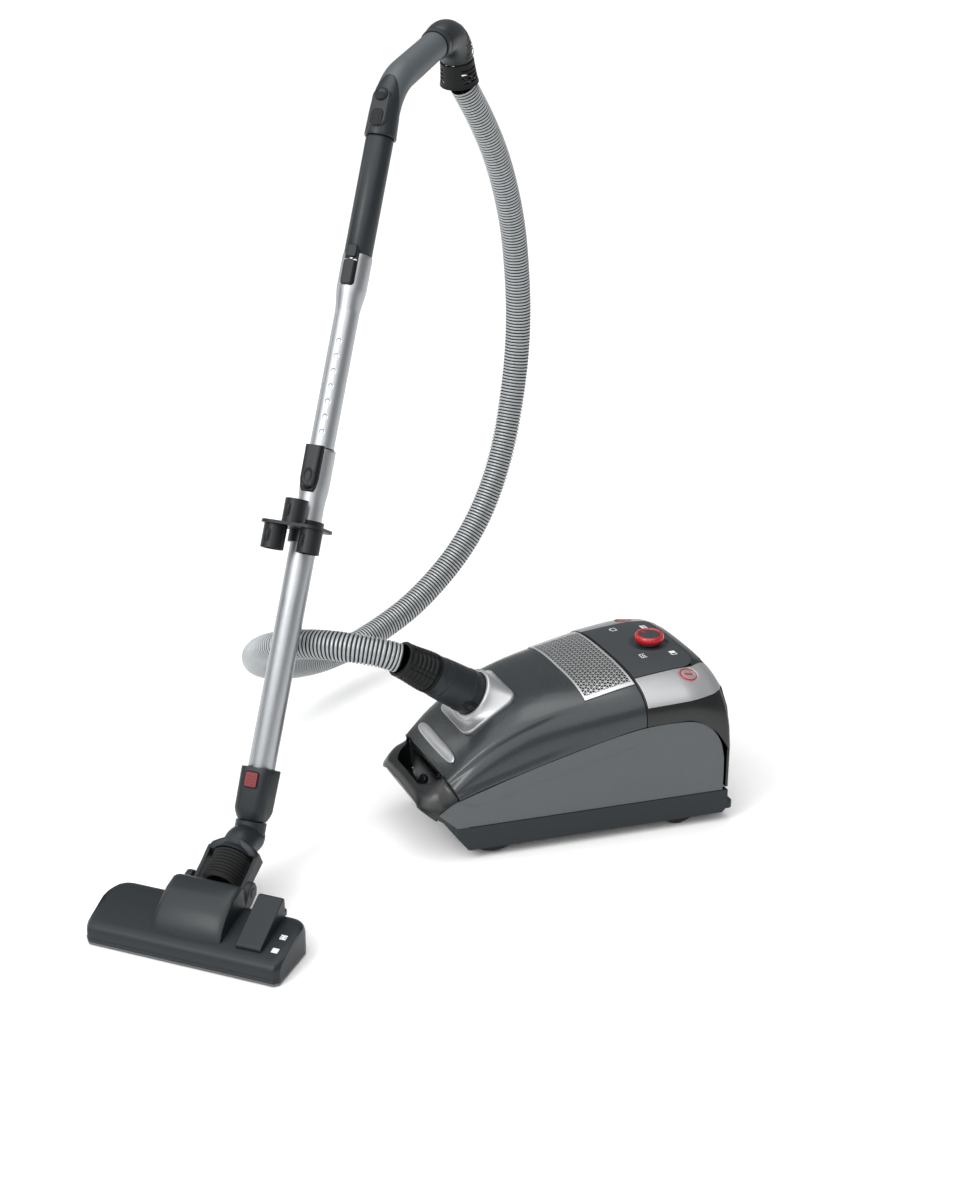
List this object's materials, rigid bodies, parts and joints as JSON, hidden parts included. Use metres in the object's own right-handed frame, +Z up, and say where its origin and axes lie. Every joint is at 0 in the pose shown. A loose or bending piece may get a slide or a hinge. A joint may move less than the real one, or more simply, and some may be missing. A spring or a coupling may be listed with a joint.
{
  "type": "canister vacuum cleaner",
  "caption": "Bagged canister vacuum cleaner with ribbed hose, bent handle, telescopic wand with accessory holder, and a floor nozzle with a foot pedal.",
  "frame": {"origin": "on the floor, at the centre of the box around the object without its hose", "axes": "+Z up, canister nose towards -Y, canister and hose outlet along the Y axis, wand standing upright"},
  "size_m": [0.8583, 0.8999, 0.9956],
  "materials": {
    "dark_plastic": "satin",
    "black_plastic": "matte",
    "lid_plastic": "semi gloss",
    "grey_plastic": "satin",
    "panel_plastic": "matte",
    "silver_paint": "satin metallic",
    "red_plastic": "gloss",
    "tube_steel": "satin polished",
    "steel": "brushed",
    "hose_grey": "satin",
    "rubber": "matte",
    "bag_fabric": "fleece",
    "filter_foam": "foam",
    "board": "matte",
    "copper": "drawn"
  },
  "bodies": {
    "canister": {"chassis_tray": "dark_plastic", "front_bezel": "lid_plastic", "side_panel_near": "grey_plastic", "side_panel_far": "grey_plastic", "rear_cover": "black_plastic", "rear_wall": "black_plastic", "exhaust_grille": "black_plastic", "exhaust_filter": "filter_foam", "rear_bumper": "black_plastic", "control_panel": "panel_plastic", "silver_frame": "silver_paint", "circuit_board": "board", "cord_outlet": "black_plastic", "bag_tub": "grey_plastic", "dust_bag": "bag_fabric", "motor_filter": "filter_foam", "motor_housing": "grey_plastic", "motor_mounts": "rubber", "reel_stand": "black_plastic", "axle_pins": "steel", "lid_hinge_pin": "steel", "hose": "hose_grey", "hose_guard": "black_plastic"},
    "motor_rotor": {"motor_rotor": "copper"},
    "cord_reel": {"cord_reel": "dark_plastic"},
    "rear_wheel_near": {"rear_wheel_near": "rubber"},
    "rear_wheel_far": {"rear_wheel_far": "rubber"},
    "caster_fork_near": {"caster_fork_near": "dark_plastic"},
    "caster_fork_far": {"caster_fork_far": "dark_plastic"},
    "caster_wheel_near": {"caster_wheel_near": "rubber"},
    "caster_wheel_far": {"caster_wheel_far": "rubber"},
    "knob": {"knob_ring": "red_plastic", "knob_cap": "panel_plastic"},
    "power_button": {"power_button": "silver_paint"},
    "rewind_button": {"rewind_button": "silver_paint"},
    "lid": {"lid_shell": "lid_plastic", "lid_grille": "silver_paint", "inlet_surround": "silver_paint"},
    "lid_latch": {"lid_latch": "silver_paint"},
    "hose_connector": {"hose_connector": "dark_plastic", "hose_cuff": "black_plastic"},
    "wand": {"handle_elbow": "dark_plastic", "grip": "grey_plastic", "control_sleeve": "dark_plastic", "handle_pipe": "dark_plastic", "upper_tube": "tube_steel"},
    "bypass_slide": {"bypass_slide": "black_plastic"},
    "sleeve_button": {"sleeve_button": "black_plastic"},
    "wand_release": {"wand_release": "black_plastic"},
    "lower_wand": {"lower_tube": "tube_steel", "accessory_holder": "black_plastic", "nozzle_socket": "dark_plastic"},
    "tube_lock": {"tube_lock": "black_plastic"},
    "socket_release": {"socket_release": "red_plastic"},
    "neck": {"neck": "dark_plastic", "neck_bellows": "rubber"},
    "head": {"head_shell": "dark_plastic", "sole_plate": "steel"},
    "pedal": {"rocker_pedal": "dark_plastic"},
    "bristles": {"bristle_strips": "rubber"}
  },
  "joints": [
    {"name": "lid_hinge", "type": "hinge", "parent": "canister", "child": "lid", "pos_m": [0.1166, 0.31125, 0.2147], "axis": [-1, 0, 0], "range_deg": [0, 60], "deforming": ["hose"]},
    {"name": "latch_pull", "type": "hinge", "parent": "lid", "child": "lid_latch", "pos_m": [0.1166, 0.064, 0.1365], "axis": [-1, 0, 0], "range_deg": [0, 12], "stiffness_Nm_per_rad": 0.3},
    {"name": "hose_swivel", "type": "hinge", "parent": "lid", "child": "hose_connector", "pos_m": [0.1166, 0.118, 0.19], "axis": [0, -0.8192, 0.5736], "continuous": true},
    {"name": "knob_turn", "type": "hinge", "parent": "canister", "child": "knob", "pos_m": [0.1166, 0.378, 0.221], "axis": [0, 0, -1], "range_deg": [0, 270]},
    {"name": "power_press", "type": "slide", "parent": "canister", "child": "power_button", "axis": [-0.2924, -0.1331, -0.947], "range_m": [0, 0.0025], "stiffness_N_per_m": 300},
    {"name": "rewind_press", "type": "slide", "parent": "canister", "child": "rewind_button", "axis": [0.2924, -0.1331, -0.947], "range_m": [0, 0.0025], "stiffness_N_per_m": 300},
    {"name": "motor_spin", "type": "hinge", "parent": "canister", "child": "motor_rotor", "pos_m": [0.1166, 0.258, 0.104], "axis": [0, 1, 0], "continuous": true},
    {"name": "reel_spin", "type": "hinge", "parent": "canister", "child": "cord_reel", "pos_m": [0.1166, 0.354, 0.104], "axis": [0, 1, 0], "continuous": true},
    {"name": "wheel_spin_near", "type": "hinge", "parent": "canister", "child": "rear_wheel_near", "pos_m": [0.2306, 0.369, 0.03], "axis": [1, 0, 0], "continuous": true},
    {"name": "wheel_spin_far", "type": "hinge", "parent": "canister", "child": "rear_wheel_far", "pos_m": [0.0026, 0.369, 0.03], "axis": [1, 0, 0], "continuous": true},
    {"name": "caster_swivel_near", "type": "hinge", "parent": "canister", "child": "caster_fork_near", "pos_m": [0.1826, 0.11, 0.03], "axis": [0, 0, 1], "continuous": true},
    {"name": "caster_spin_near", "type": "hinge", "parent": "caster_fork_near", "child": "caster_wheel_near", "pos_m": [0.19179, 0.10081, 0.013], "axis": [-0.7071, -0.7071, 0], "continuous": true},
    {"name": "caster_swivel_far", "type": "hinge", "parent": "canister", "child": "caster_fork_far", "pos_m": [0.0506, 0.11, 0.03], "axis": [0, 0, 1], "continuous": true},
    {"name": "caster_spin_far", "type": "hinge", "parent": "caster_fork_far", "child": "caster_wheel_far", "pos_m": [0.04141, 0.10081, 0.013], "axis": [0.7071, -0.7071, 0], "continuous": true},
    {"name": "handle_swivel", "type": "hinge", "parent": "canister", "child": "wand", "pos_m": [-0.3513, 0.2949, 0.93695], "axis": [-0.189, 0.189, -0.9636], "continuous": true},
    {"name": "bypass_slide", "type": "slide", "parent": "wand", "child": "bypass_slide", "axis": [-0.3482, 0.3482, 0.8704], "range_m": [0, 0.006]},
    {"name": "sleeve_press", "type": "slide", "parent": "wand", "child": "sleeve_button", "axis": [-0.6154, 0.6154, -0.4924], "range_m": [0, 0.001], "stiffness_N_per_m": 300},
    {"name": "release_rock", "type": "hinge", "parent": "wand", "child": "wand_release", "pos_m": [-0.0876, 0.0312, 0.74156], "axis": [-0.7071, -0.7071, 0], "range_deg": [0, 5], "stiffness_Nm_per_rad": 0.3},
    {"name": "telescope", "type": "slide", "parent": "wand", "child": "lower_wand", "axis": [-0.3482, 0.3482, 0.8704], "range_m": [-0.19, 0.13]},
    {"name": "lock_slide", "type": "slide", "parent": "lower_wand", "child": "tube_lock", "axis": [0.3482, -0.3482, -0.8704], "range_m": [0, 0.008], "stiffness_N_per_m": 250},
    {"name": "socket_press", "type": "slide", "parent": "lower_wand", "child": "socket_release", "axis": [-0.6154, 0.6154, -0.4924], "range_m": [0, 0.002], "stiffness_N_per_m": 300},
    {"name": "neck_swivel", "type": "hinge", "parent": "lower_wand", "child": "neck", "pos_m": [0.15278, -0.20918, 0.094], "axis": [-0.3482, 0.3482, 0.8704], "range_deg": [-90, 90]},
    {"name": "neck_tilt", "type": "hinge", "parent": "neck", "child": "head", "pos_m": [0.21642, -0.27282, 0.0492], "axis": [0.7071, 0.7071, 0], "range_deg": [-38, 15], "deforming": ["neck_bellows"]},
    {"name": "pedal_rock", "type": "hinge", "parent": "head", "child": "pedal", "pos_m": [0.31895, -0.25514, 0.03], "axis": [0.7071, 0.7071, 0], "range_deg": [-5, 0]},
    {"name": "bristle_lift", "type": "slide", "parent": "head", "child": "bristles", "axis": [0, 0, 1], "range_m": [0, 0.005]}
  ],
  "couplings": [
    {"joint": "bristle_lift", "follows": "pedal_rock", "m_per_rad": -0.057296}
  ]
}
